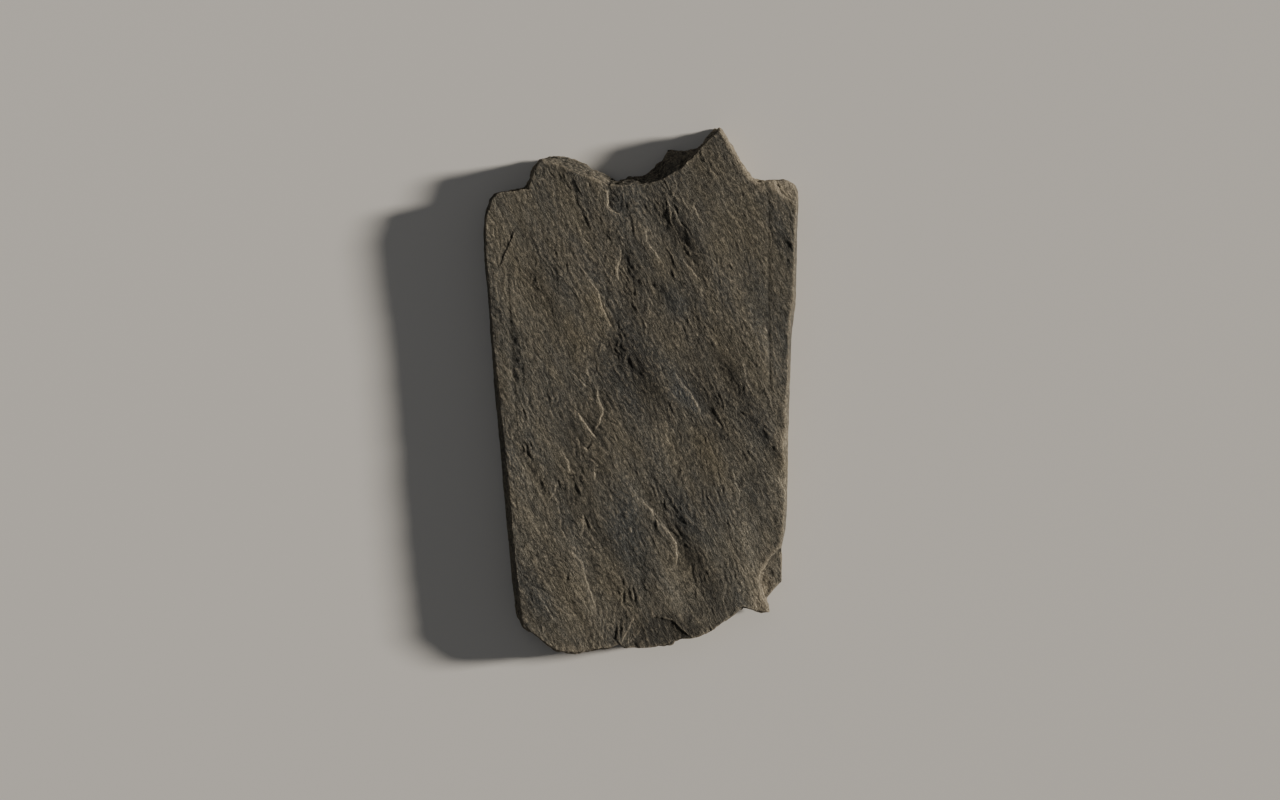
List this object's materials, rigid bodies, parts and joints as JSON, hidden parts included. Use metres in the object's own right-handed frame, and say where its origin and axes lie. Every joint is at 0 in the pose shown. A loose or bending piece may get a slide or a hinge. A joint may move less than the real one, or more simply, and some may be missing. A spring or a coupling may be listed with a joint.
{
  "type": "stone stele",
  "caption": "Weathered slab of split schist that tapers to its foot, with square shoulders, a broken neck and shallow border lines; it lies on its back.",
  "frame": {"origin": "on the ground, under the middle of the slab as it lies on its back", "axes": "+Y along the slab from its foot to its broken neck, +Z out of the carved face, +X to the right of someone looking at the face with the neck up"},
  "size_m": [0.4768, 0.7972, 0.0582],
  "materials": {
    "schist": "split and weathered grey-brown schist, matt, with a diagonal grain"
  },
  "bodies": {
    "root": {"stele_slab": "schist"}
  },
  "joints": []
}
